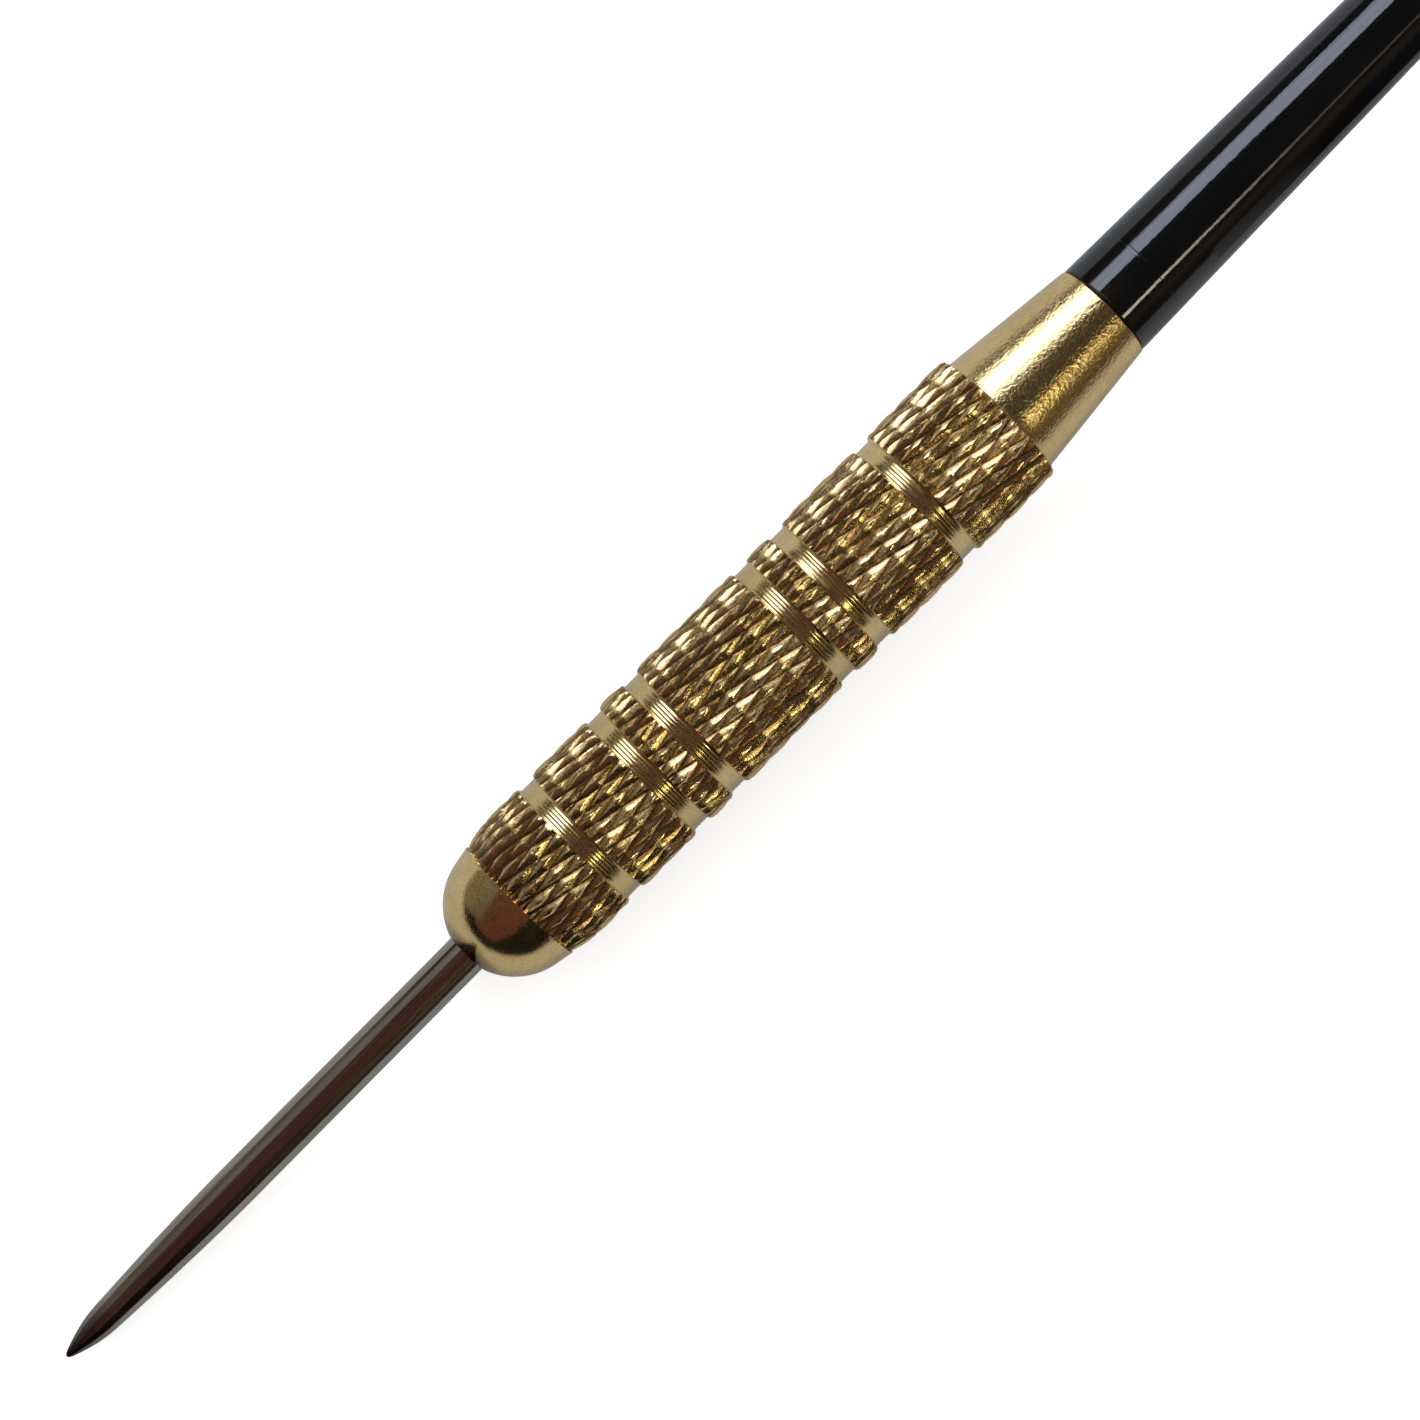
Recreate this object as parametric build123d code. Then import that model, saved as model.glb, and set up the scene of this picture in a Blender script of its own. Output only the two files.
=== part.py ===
from build123d import *
import os
from math import cos, radians, sin, sqrt, tan

# A steel-tip dart: a steel point pressed into a turned brass barrel, a moulded shaft screwed into
# the barrel's back, a loose metal ring round the shaft's slotted crown, and a folded film flight.
# The origin is the sharp tip. The dart's axis is +X, towards the flight, and +Z is up. Millimetres.

# Steel point
POINT_R = 1.22
POINT_REACH = 31.5
TIP_FLAT_R = 0.14
TIP_LENGTH = 3.0
TIP_R = 0.87
TAPER_LENGTH = 13.3
SHANK_R = 1.235
SHANK_DEPTH = 11.0
SHANK_RELIEF = 0.9
SHANK_CHAMFER = 0.3
SHANK_GROOVES = 3
SHANK_GROOVE_PITCH = 2.6
SHANK_GROOVE_WIDTH = 0.8
SHANK_GROOVE_R = 1.03
PRESS = 0.01

# Brass barrel, measured from its nose face
BARREL_LENGTH = 50.0
BARREL_R = 4.45
NOSE_FACE_R = 1.4
DOME_R = 4.0
RAMP_ANGLE = 10.5
GROOVE_CENTRES = (8.95, 14.2, 17.1, 25.7, 28.5, 35.2)
GROOVE_WIDTH = 1.0
GROOVE_R = 4.16
GRIP_LENGTH = 41.7
NECK_R = 3.95
NECK_CORNER = 0.3
RIM_R = 3.1
RIM_CHAMFER = 0.12
POINT_BORE_DEPTH = 12.0
DRILL_ANGLE = 59.0

# 2BA screw thread between barrel and shaft, with all of its play on the barrel's side
THREAD_PITCH = 0.81
THREAD_MAJOR_R = 2.35
THREAD_DEPTH = 0.485
THREAD_CREST = 0.16
THREAD_HALF_ANGLE = 23.75
THREAD_PLAY = 0.05
THREAD_SINK = 0.06
STUB_LENGTH = 6.6
STUB_CHAMFER = 0.45
STUB_NECK_LENGTH = 0.7
BORE_DEPTH = 8.2
BORE_RUN_OUT = 0.6
BORE_COUNTERSINK = 0.55

# Moulded shaft, measured from the barrel's back face
SHAFT_LENGTH = 47.0
SHAFT_BASE_R = 3.05
SHAFT_TAPER = 0.01818
WAIST_AT = 29.0
FLARE_LENGTH = 3.2
CROWN_R = 3.0
CROWN_CHAMFER = 0.45
SLOT_DEPTH = 14.0
SLOT_WIDTH = 0.4

# Stem ring round the crown, measured from the barrel's back face
RING_AT = 34.4
RING_LENGTH = 2.2
RING_R = 3.5
RING_PLAY = 0.04
RING_CHAMFER = 0.25

# Flight: one film folded into four wings of two layers each, measured from its front edge
WINGS = 4
FIRST_WING = 45.0
FILM = 0.1
FLIGHT_AT = 33.4
FLIGHT_LENGTH = 46.0
FLIGHT_HALF_WIDTH = 20.0
TONGUE_HALF_WIDTH = 2.6
TONGUE_LENGTH = 3.8
SHOULDER_AT = 19.0
SHOULDER_HALF_WIDTH = 17.4
WIDEST_AT = 28.0
TAIL_CORNER_AT = 43.5
SHOULDER_ROUND = 9.0
TAIL_ROUND = 6.0

NOSE_X = POINT_REACH
BACK_X = NOSE_X + BARREL_LENGTH


def lines(*points):
    """Straight edges from each point to the next."""
    return [Line(start, end) for start, end in zip(points, points[1:])]


def groove(centre, width, floor_r, outer_r):
    """The four corners of one turned groove, with sides that lean outwards by 19 degrees."""
    lean = (outer_r - floor_r) / 2.9
    low = centre - width / 2
    high = centre + width / 2
    return [(low - lean, outer_r), (low, floor_r), (high, floor_r), (high + lean, outer_r)]


def turned(edges):
    """A solid turned about the X axis from an outline above it, closed down to the axis."""
    outline = Wire(edges)
    first = outline @ 0
    last = outline @ 1
    corners = [last, Vector(last.X, 0), Vector(first.X, 0), first]
    closing = [Line(a, b) for a, b in zip(corners, corners[1:]) if (a - b).length > 1e-6]
    return revolve(make_face(list(edges) + closing), axis=Axis.X).solid()


def make_steel_point():
    """Ground tip, long gentle taper, straight pin and a grooved shank for the press fit."""
    tip = (TIP_FLAT_R * 0.6, TIP_FLAT_R)
    taper = (TIP_LENGTH, TIP_R)
    pin = (TAPER_LENGTH, POINT_R)
    relief_end = NOSE_X + SHANK_RELIEF
    shank_end = NOSE_X + SHANK_DEPTH
    points = [pin, (NOSE_X, POINT_R), (NOSE_X + 0.07, SHANK_GROOVE_R)]
    points += [(relief_end - 0.07, SHANK_GROOVE_R), (relief_end, SHANK_R)]
    for number in range(SHANK_GROOVES):
        centre = relief_end + 2.0 + number * SHANK_GROOVE_PITCH
        points += groove(centre, SHANK_GROOVE_WIDTH, SHANK_GROOVE_R, SHANK_R)
    points += [(shank_end - SHANK_CHAMFER, SHANK_R), (shank_end, SHANK_R - SHANK_CHAMFER)]
    edges = lines((0, 0), tip)
    edges += [ThreePointArc(tip, (1.35, 0.585), taper), ThreePointArc(taper, (7.7, 1.09), pin)]
    return turned(edges + lines(*points))


def thread_ridge(start, length, play):
    """The helical ridge of the thread, thicker on all sides by play and sunk into its core."""
    foot_r = THREAD_MAJOR_R - THREAD_DEPTH + play - THREAD_SINK
    rise = THREAD_DEPTH + THREAD_SINK
    crest = THREAD_CREST / 2 + play
    foot = crest + rise * tan(radians(THREAD_HALF_ANGLE))
    helix = Helix(THREAD_PITCH, length, foot_r, center=(start, 0, 0), direction=(1, 0, 0))
    foot_point = helix @ 0
    outwards = Vector(0, foot_point.Y, foot_point.Z).normalized()
    section = Plane(foot_point, x_dir=(1, 0, 0), z_dir=Vector(1, 0, 0).cross(outwards))
    profile = make_face(Polyline((-foot, 0), (foot, 0), (crest, rise), (-crest, rise), close=True))
    return sweep(section * profile, path=helix, is_frenet=True)


def threaded_rod(start, end, play):
    """A core with the thread round it. The thread has the same phase wherever the rod starts."""
    turns = round((start - BACK_X) / THREAD_PITCH) + 1
    ridge_start = BACK_X + turns * THREAD_PITCH
    core_r = THREAD_MAJOR_R - THREAD_DEPTH + play
    core = turned(lines((start, core_r), (end, core_r)))
    return core + thread_ridge(ridge_start, end - THREAD_PITCH - ridge_start, play)


def make_barrel_outside():
    """Ball nose, ramp, straight grip with turned grooves, then a bare taper to the back rim."""
    lean = radians(RAMP_ANGLE)
    halfway = radians(RAMP_ANGLE + 30)
    centre_x = NOSE_X + sqrt(DOME_R**2 - NOSE_FACE_R**2)
    dome_middle = (centre_x - DOME_R * sin(halfway), DOME_R * cos(halfway))
    dome_end = (centre_x - DOME_R * sin(lean), DOME_R * cos(lean))
    ramp_end = (dome_end[0] + (BARREL_R - dome_end[1]) / tan(lean), BARREL_R)
    grip_end = NOSE_X + GRIP_LENGTH
    points = [dome_end, ramp_end]
    for centre in GROOVE_CENTRES:
        points += groove(NOSE_X + centre, GROOVE_WIDTH, GROOVE_R, BARREL_R)
    points += [(grip_end, BARREL_R), (grip_end, NECK_R + NECK_CORNER / 2)]
    points += [(grip_end + NECK_CORNER, NECK_R), (BACK_X - RIM_CHAMFER, RIM_R)]
    points += [(BACK_X, RIM_R - RIM_CHAMFER)]
    dome = ThreePointArc((NOSE_X, NOSE_FACE_R), dome_middle, dome_end)
    return turned([dome] + lines(*points))


def make_point_bore():
    """The air of the drilled hole that the point's shank is pressed into."""
    bore_r = SHANK_R - PRESS
    end = NOSE_X + POINT_BORE_DEPTH
    cone = bore_r / tan(radians(DRILL_ANGLE))
    return turned(lines((NOSE_X, bore_r), (end, bore_r), (end + cone, 0)))


def make_shaft_bore():
    """The air of the tapped hole for the shaft, with a drill's cone behind it."""
    core_r = THREAD_MAJOR_R - THREAD_DEPTH + THREAD_PLAY
    clear_r = THREAD_MAJOR_R + 0.3
    bottom = BACK_X - BORE_DEPTH
    rod = threaded_rod(bottom, BACK_X + 3 * THREAD_PITCH, THREAD_PLAY)
    run_out = (bottom + BORE_RUN_OUT, clear_r)
    trim = turned(lines((bottom, core_r), run_out, (BACK_X + 1, clear_r)))
    cone = core_r / tan(radians(DRILL_ANGLE))
    return (rod & trim) + turned(lines((bottom - cone, 0), (bottom, core_r)))


def make_countersink():
    """The air of the conical chamfer at the tapped hole's mouth."""
    core_r = THREAD_MAJOR_R - THREAD_DEPTH + THREAD_PLAY
    low = (BACK_X - BORE_COUNTERSINK, core_r)
    high = (BACK_X, THREAD_MAJOR_R + 0.25)
    return turned(lines(low, high))


def make_barrel():
    """The turned outside with a plain bore in front and a tapped bore behind."""
    barrel = make_barrel_outside() - make_point_bore()
    barrel -= make_shaft_bore()
    return barrel - make_countersink()


def make_shaft_stub():
    """The threaded stub, with a lead-in chamfer and a plain neck under the shoulder."""
    neck_r = THREAD_MAJOR_R - THREAD_DEPTH - 0.02
    clear_r = THREAD_MAJOR_R + 0.2
    end = BACK_X - STUB_LENGTH
    neck = BACK_X - STUB_NECK_LENGTH
    rod = threaded_rod(end - 3 * THREAD_PITCH, BACK_X + 2 * THREAD_PITCH, 0)
    corners = [(end, THREAD_MAJOR_R - STUB_CHAMFER), (end + STUB_CHAMFER + 0.2, clear_r)]
    corners += [(neck - 0.2, clear_r), (neck, neck_r), (BACK_X, neck_r)]
    return rod & turned(lines(*corners))


def make_shaft():
    """Threaded stub, shoulder, long taper to a waist, and a crown with crossed slots."""
    waist = (BACK_X + WAIST_AT, SHAFT_BASE_R - SHAFT_TAPER * WAIST_AT)
    crown = (waist[0] + FLARE_LENGTH, CROWN_R)
    flare = (waist[0] + FLARE_LENGTH / 2, (waist[1] + CROWN_R) / 2)
    end_x = BACK_X + SHAFT_LENGTH
    edges = lines((BACK_X, SHAFT_BASE_R), waist)
    edges += [ThreePointArc(waist, (waist[0] + 1.0, waist[1] + 0.08), flare)]
    edges += [ThreePointArc(flare, (crown[0] - 1.0, crown[1] - 0.08), crown)]
    edges += lines(crown, (end_x - CROWN_CHAMFER, CROWN_R), (end_x, CROWN_R - CROWN_CHAMFER))
    shaft = turned(edges) + make_shaft_stub()
    slot = Box(SLOT_DEPTH, 4 * CROWN_R, SLOT_WIDTH, align=(Align.MAX, Align.CENTER, Align.CENTER))
    for number in range(WINGS // 2):
        shaft -= Rot(FIRST_WING + number * 90, 0, 0) * Pos(end_x, 0, 0) * slot
    return shaft


def make_stem_ring():
    """A plain turned ring with chamfered outer edges."""
    low = BACK_X + RING_AT
    high = low + RING_LENGTH
    bore_r = CROWN_R + RING_PLAY
    outside = [(low, RING_R - RING_CHAMFER), (low + RING_CHAMFER, RING_R)]
    outside += [(high - RING_CHAMFER, RING_R), (high, RING_R - RING_CHAMFER)]
    return turned(lines(*outside)) - turned(lines((low, bore_r), (high, bore_r)))


def make_wing():
    """One wing, from the fold on the axis outwards, with its broad corners rounded."""
    front = BACK_X + FLIGHT_AT
    outline = Polyline(
        (front, 0),
        (front, TONGUE_HALF_WIDTH),
        (front + TONGUE_LENGTH, TONGUE_HALF_WIDTH),
        (front + SHOULDER_AT, SHOULDER_HALF_WIDTH),
        (front + WIDEST_AT, FLIGHT_HALF_WIDTH),
        (front + TAIL_CORNER_AT, FLIGHT_HALF_WIDTH),
        (front + FLIGHT_LENGTH, 0),
        close=True,
    )
    wing = make_face(outline)
    rounds = {SHOULDER_AT: SHOULDER_ROUND, WIDEST_AT: SHOULDER_ROUND, TAIL_CORNER_AT: TAIL_ROUND}
    for place, radius in rounds.items():
        corner = wing.vertices().filter_by(lambda v: abs(v.X - front - place) < 0.01)
        wing = fillet(corner, radius)
    return extrude(wing, FILM, both=True)


def make_flight():
    """Four flat wings at right angles, joined along the fold."""
    wing = make_wing()
    flight = wing
    for number in range(1, WINGS):
        flight += Rot(360 / WINGS * number, 0, 0) * wing
    return Rot(FIRST_WING, 0, 0) * flight


NODES = {
    "steel_point": make_steel_point,
    "barrel": make_barrel,
    "shaft": make_shaft,
    "stem_ring": make_stem_ring,
    "flight": make_flight,
}

os.makedirs("parts", exist_ok=True)
for name, make in NODES.items():
    solid = make().solid()
    solid.label = name
    export_step(solid, f"parts/{name}.step")
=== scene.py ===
"""A steel-tip dart on a pale surface. Lengths here are millimetres, and become metres in the meshes."""

from math import cos, pi, radians, sin, sqrt, tan

import bpy
import numpy as np
from mathutils import Matrix, Vector


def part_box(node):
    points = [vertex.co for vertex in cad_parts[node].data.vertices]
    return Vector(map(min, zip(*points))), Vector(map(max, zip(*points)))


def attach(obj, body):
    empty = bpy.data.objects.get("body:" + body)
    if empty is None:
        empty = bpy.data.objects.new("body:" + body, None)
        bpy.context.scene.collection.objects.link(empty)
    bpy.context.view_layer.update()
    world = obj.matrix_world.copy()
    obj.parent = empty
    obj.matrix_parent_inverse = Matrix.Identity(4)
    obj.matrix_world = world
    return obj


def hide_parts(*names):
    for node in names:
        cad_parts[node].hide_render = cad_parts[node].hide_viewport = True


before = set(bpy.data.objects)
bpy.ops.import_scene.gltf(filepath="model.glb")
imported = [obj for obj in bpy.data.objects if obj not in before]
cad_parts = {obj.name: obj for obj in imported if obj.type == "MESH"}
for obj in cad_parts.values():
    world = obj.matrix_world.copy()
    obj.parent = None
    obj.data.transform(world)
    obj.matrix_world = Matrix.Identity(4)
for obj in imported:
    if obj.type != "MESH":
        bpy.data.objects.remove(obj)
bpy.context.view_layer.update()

MM = 0.001


def span(node):
    """Where a CAD node starts and ends along X, and its largest radius."""
    low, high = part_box(node)
    return low.x / MM, high.x / MM, high.z / MM


# ---------------------------------------------------------------- the frame's places and sizes

NOSE, BACK, GRIP_R = span("barrel")
_, SHANK_END, SHANK_R = span("steel_point")
STUB_START, SHAFT_END, SHAFT_BASE_R = span("shaft")
RING_START, RING_END, RING_R = span("stem_ring")
FLIGHT_START, _, WING_CORNER = span("flight")

# Steel point, measured from its sharp tip
POINT_R = 1.22
TIP_LENGTH = 3.0
TIP_R = 0.87
TIP_ROUND = 0.105
SWELL_END = 13.3
SHANK_GROOVES = 3
SHANK_GROOVE_AT = 2.5
SHANK_GROOVE_PITCH = 2.6
SHANK_GROOVE_WIDTH = 0.8
SHANK_GROOVE_R = 1.03
SHANK_CHAMFER = 0.3

# Barrel, measured from its nose face
DOME_R = 4.0
NOSE_FACE_R = 1.4
DOME_CENTRE = sqrt(DOME_R**2 - NOSE_FACE_R**2)
RAMP_ANGLE = radians(10.5)
POINT_BORE_R = 1.225
POINT_BORE_DEPTH = 12.0
KNURL_START = 4.17
GRIP_LENGTH = 41.7
GROOVE_CENTRES = (8.95, 14.2, 17.1, 25.7, 28.5, 35.2)
GROOVE_WIDTH = 1.0
GROOVE_R = 4.16
GROOVE_EDGE = 0.07
GROOVE_LIP = 0.14
NECK_R = 3.95
RIM_R = 3.1

# 2BA thread between barrel and shaft, with all of its play on the barrel's side
PITCH = 0.81
THREAD_R = 2.35
THREAD_ROOT_R = 1.865
HALF_CREST = 0.08
HALF_ANGLE = radians(23.75)
THREAD_PLAY = 0.05
TAP_DEPTH = 8.2
TAP_RUN_OUT = 0.6
COUNTERSINK = 0.55
THREAD_POINTS = 72
RINGS_PER_PITCH = 11

# Shaft, measured from the barrel's back face
WAIST_AT = 29.0
WAIST_R = 2.523
SHAFT_TAPER = 0.01818
FLARE_LENGTH = 3.2
CROWN_R = 3.0
SLOT_DEPTH = 14.0
SLOT_WIDTH = 0.4
STUB_CORE_R = 1.845

# Flight, measured from its front edge. Its folded film has two layers
FILM = 0.1
WING_HALF_WIDTH = WING_CORNER * sqrt(2) - FILM
FLIGHT_LENGTH = 46.0
TONGUE_LENGTH = 3.8
TONGUE_HALF_WIDTH = 2.6
SHOULDER = (19.0, 17.4)
WIDEST_AT = 28.0
TAIL_CORNER_AT = 43.5
SHOULDER_ROUND = 23.0
TAIL_ROUND = 6.0

# Knurl: so many grooves each way, so many mesh steps from one groove to the next
STARTS = 32
STEPS = 10
KNURL_DEPTH = 0.27
DIAMOND_LENGTH = 3.38
GROOVE_SHAPE = (1.0, 0.72, 0.44, 0.17, 0.0, 0.0)
WORN_EDGE = (0.13, 0.045, 0.01)
CREST_NOISE = 0.012

# Points in a plain ring
SMOOTH = 96

# Finishes of the barrel's plain parts, kept with its points
TURNED = 1.0
PEEL = -1.0


# ---------------------------------------------------------------- meshes


class Skin:
    """A closed mesh round the X axis, made of rings of points joined one after the other."""

    def __init__(self):
        self.points = []
        self.faces = []
        self.valley = []
        self.finish = []

    def ring(self, x, radius, count=SMOOTH, turn=0.0, valley=0.0, finish=0.0):
        """Adds a ring. x, radius and valley are single numbers or one for each point."""
        angle = 2 * pi * (np.arange(count) + turn) / count
        x = np.broadcast_to(x, count)
        radius = np.broadcast_to(radius, count)
        first = len(self.points)
        self.points += list(zip(x, radius * np.cos(angle), radius * np.sin(angle)))
        self.valley += list(np.broadcast_to(valley, count))
        self.finish += [finish] * count
        return first, count, turn

    def join(self, a, b):
        """Joins two rings, whatever their counts of points. The outside faces out if b is at higher x."""
        first_a, count_a, turn_a = a
        first_b, count_b, turn_b = b
        if count_a == count_b and turn_a == turn_b:
            for k in range(count_a):
                n = (k + 1) % count_a
                self.faces.append((first_a + k, first_a + n, first_b + n, first_b + k))
            return
        i = j = 0
        while i < count_a or j < count_b:
            next_a = (i + 1 + turn_a) / count_a
            next_b = (j + 1 + turn_b) / count_b
            here_a, here_b = first_a + i % count_a, first_b + j % count_b
            if j == count_b or (i < count_a and next_a <= next_b):
                self.faces.append((here_a, first_a + (i + 1) % count_a, here_b))
                i += 1
            else:
                self.faces.append((here_a, first_b + (j + 1) % count_b, here_b))
                j += 1

    def chain(self, rings):
        """Joins rings in a row, and returns the last one."""
        for a, b in zip(rings, rings[1:]):
            self.join(a, b)
        return rings[-1]

    def close(self, ring, x, at_start):
        """Closes a ring with a point on the axis."""
        first, count, _ = ring
        middle = len(self.points)
        self.points.append((x, 0.0, 0.0))
        self.valley.append(0.0)
        self.finish.append(0.0)
        for k in range(count):
            a, b = first + k, first + (k + 1) % count
            self.faces.append((middle, b, a) if at_start else (middle, a, b))

    def build(self, name, angle=30):
        """The finished object, smooth except where two faces meet at more than the angle."""
        mesh = bpy.data.meshes.new(name)
        mesh.from_pydata([tuple(float(c) * MM for c in p) for p in self.points], [], self.faces)
        for key, values in (("valley", self.valley), ("finish", self.finish)):
            attribute = mesh.attributes.new(key, "FLOAT", "POINT")
            attribute.data.foreach_set("value", np.array(values, np.float32))
        return place(name, mesh, angle)


def place(name, mesh, angle=30):
    """Puts a mesh in the scene with smooth faces and sharp corners."""
    mesh.validate()
    mesh.shade_smooth()
    mesh.set_sharp_from_angle(angle=radians(angle))
    obj = bpy.data.objects.new(name, mesh)
    bpy.context.scene.collection.objects.link(obj)
    return obj


def profile_rings(skin, profile, finish=0.0):
    """Plain rings along a list of (x, radius)."""
    return [skin.ring(x, r, finish=finish) for x, r in profile]


def thread_radius(x, angle, play):
    """The radius of a 2BA thread's surface at a place along the axis and round it."""
    turns = (x - BACK) / PITCH - angle / (2 * pi)
    off_crest = np.abs(turns - np.round(turns)) * PITCH
    flank = THREAD_R + play - (off_crest - HALF_CREST - play) / tan(HALF_ANGLE)
    return np.clip(flank, THREAD_ROOT_R + play, THREAD_R + play)


def thread_rings(skin, low, high, play, shape):
    """Rings over a threaded stretch. shape(x, radius) trims the thread at its ends."""
    angle = 2 * pi * np.arange(THREAD_POINTS) / THREAD_POINTS
    places = np.linspace(low, high, round((high - low) / PITCH * RINGS_PER_PITCH) + 1)
    return [skin.ring(x, shape(x, thread_radius(x, angle, play)), THREAD_POINTS) for x in places]


def ramp_radius(x):
    """The radius of the barrel's nose ramp and grip at x from the nose face."""
    start = DOME_CENTRE - DOME_R * sin(RAMP_ANGLE)
    return min(GRIP_R, DOME_R * cos(RAMP_ANGLE) + (x - start) * tan(RAMP_ANGLE))


def knurl_depth(u, v, wheel):
    """How deep the knurl is below its crests, where u and v count grooves each way."""
    depth = np.zeros(u.shape)
    for way, wear in ((u, wheel[0]), (v, wheel[1])):
        nearest = np.round(way)
        steps = np.abs(way - nearest) * STEPS
        cut = np.interp(steps, range(len(GROOVE_SHAPE)), GROOVE_SHAPE)
        depth = np.maximum(depth, cut * wear[nearest.astype(int) % STARTS])
    top = wheel[2][np.floor(u).astype(int) % STARTS, np.floor(v).astype(int) % STARTS]
    return KNURL_DEPTH * (depth + top * (1 - depth))


def knurl_band(skin, low, high, wheel, worn_start=True):
    """A band of diamonds between two places from the nose face. Returns its first and last ring."""
    row_step = DIAMOND_LENGTH / (2 * STEPS)
    rows = round((high - low) / row_step)
    first_row = round(low / row_step)
    count = STARTS * STEPS
    columns = np.arange(count)
    rings = []
    for m in range(rows + 1):
        row = first_row + m
        odd = row % 2
        q = 2 * columns + odd
        depth = knurl_depth((q + row) / (2 * STEPS), (q - row) / (2 * STEPS), wheel)
        edge = min(m if worn_start else len(WORN_EDGE), rows - m)
        worn = np.maximum(depth, WORN_EDGE[edge] if edge < len(WORN_EDGE) else 0.0)
        x = low + (high - low) * m / rows
        radius = ramp_radius(x) - worn - CREST_NOISE * wheel[3].random(count)
        rings.append(skin.ring(NOSE + x, radius, count, odd / 2, depth / KNURL_DEPTH))
    for m in range(rows + 1):
        row = first_row + m
        for k in range(count):
            q = 2 * k + 1 - row % 2
            left = rings[m][0] + (q - 1 - row % 2) // 2 % count
            right = rings[m][0] + (q + 1 - row % 2) // 2 % count
            back = rings[m - 1][0] + k if m else None
            front = rings[m + 1][0] + k if m < rows else None
            if back is not None and front is not None and q % STEPS == 0:
                skin.faces += [(back, right, front), (back, front, left)]
                continue
            if front is not None:
                skin.faces.append((left, right, front))
            if back is not None:
                skin.faces.append((left, back, right))
    return rings[0], rings[-1]


def groove_rings(skin, centre):
    """A turned groove with the fine ridges that the tool left on its floor."""
    low = NOSE + centre - GROOVE_WIDTH / 2
    places = np.linspace(0, 1, 21)
    ridges = 0.012 * np.cos(places * 10 * pi) + 0.016 * (2 * places - 1) ** 6
    profile = [(low - GROOVE_EDGE, GROOVE_R + GROOVE_LIP)]
    profile += [(low + p * GROOVE_WIDTH, GROOVE_R + r) for p, r in zip(places, ridges)]
    profile += [(low + GROOVE_WIDTH + GROOVE_EDGE, GROOVE_R + GROOVE_LIP)]
    return profile_rings(skin, profile, TURNED)


def make_barrel():
    """The whole barrel in one skin, from the floor of the nose bore to the floor of the tapped one."""
    chance = np.random.default_rng(11)
    wheel = [0.98 - 0.2 * chance.random(STARTS), 1.02 - 0.18 * chance.random(STARTS)]
    wheel += [0.28 * chance.random((STARTS, STARTS)) ** 2, chance]
    skin = Skin()
    floor = NOSE + POINT_BORE_DEPTH
    bore = [(floor + 0.7, 0.3), (floor, POINT_BORE_R)]
    bore += [(NOSE + 0.15, POINT_BORE_R), (NOSE, POINT_BORE_R + 0.095)]
    arc = np.linspace(np.arcsin(NOSE_FACE_R / DOME_R), pi / 2 - RAMP_ANGLE, 26)
    dome = [(NOSE + DOME_CENTRE - DOME_R * cos(a), DOME_R * sin(a)) for a in arc]
    dome += [(NOSE + x, ramp_radius(x)) for x in (3.4, 3.8, KNURL_START - 0.06)]
    rings = profile_rings(skin, bore + dome)
    skin.close(rings[0], floor + 0.75, at_start=True)
    last = skin.chain(rings)
    start = KNURL_START
    reach = GROOVE_WIDTH / 2 + GROOVE_EDGE
    for groove in GROOVE_CENTRES:
        first, end = knurl_band(skin, start, groove - reach, wheel, start != KNURL_START)
        skin.join(last, first)
        last = skin.chain([end] + groove_rings(skin, groove))
        start = groove + reach
    first, end = knurl_band(skin, start, GRIP_LENGTH, wheel)
    skin.join(last, first)
    grip_end = NOSE + GRIP_LENGTH
    neck_start, neck_end = grip_end + 0.3, BACK - 0.12
    neck = [(grip_end + 0.02, NECK_R + 0.16), (grip_end + 0.1, NECK_R + 0.06), (neck_start, NECK_R - 0.01)]
    slope = (NECK_R - RIM_R) / (neck_end - neck_start)
    neck += [(x, NECK_R - slope * (x - neck_start)) for x in np.linspace(grip_end + 0.7, neck_end, 16)]
    neck += [(BACK - 0.01, RIM_R - 0.11), (BACK, RIM_R - 0.15), (BACK, RIM_R - 0.48)]
    last = skin.chain([end] + profile_rings(skin, neck, PEEL))
    tap_floor = BACK - TAP_DEPTH
    tap_r = THREAD_ROOT_R + THREAD_PLAY

    def tapped(x, radius):
        mouth = tap_r + (x - (BACK - COUNTERSINK)) / COUNTERSINK * 0.7
        run_out = tap_r + (x - tap_floor) / TAP_RUN_OUT * 0.74
        return np.maximum(np.minimum(radius, run_out), mouth)

    tap = thread_rings(skin, tap_floor, BACK - 0.02, THREAD_PLAY, tapped)[::-1]
    last = skin.chain([last] + tap)
    skin.close(last, tap_floor - 1.15, at_start=False)
    return skin.build("barrel_knurled", 19)


def point_radius(x):
    """The radius of the ground point: a rounded tip, a short bowed taper, then a long slight swell."""
    if x < TIP_LENGTH:
        taper = TIP_R * (1 - (1 - x / TIP_LENGTH) ** 1.5) ** 0.74
        return max(taper, sqrt(2 * TIP_ROUND * x))
    swell = 1 - (1 - (x - TIP_LENGTH) / (SWELL_END - TIP_LENGTH)) ** 1.6
    return TIP_R + (POINT_R - TIP_R) * swell


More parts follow.
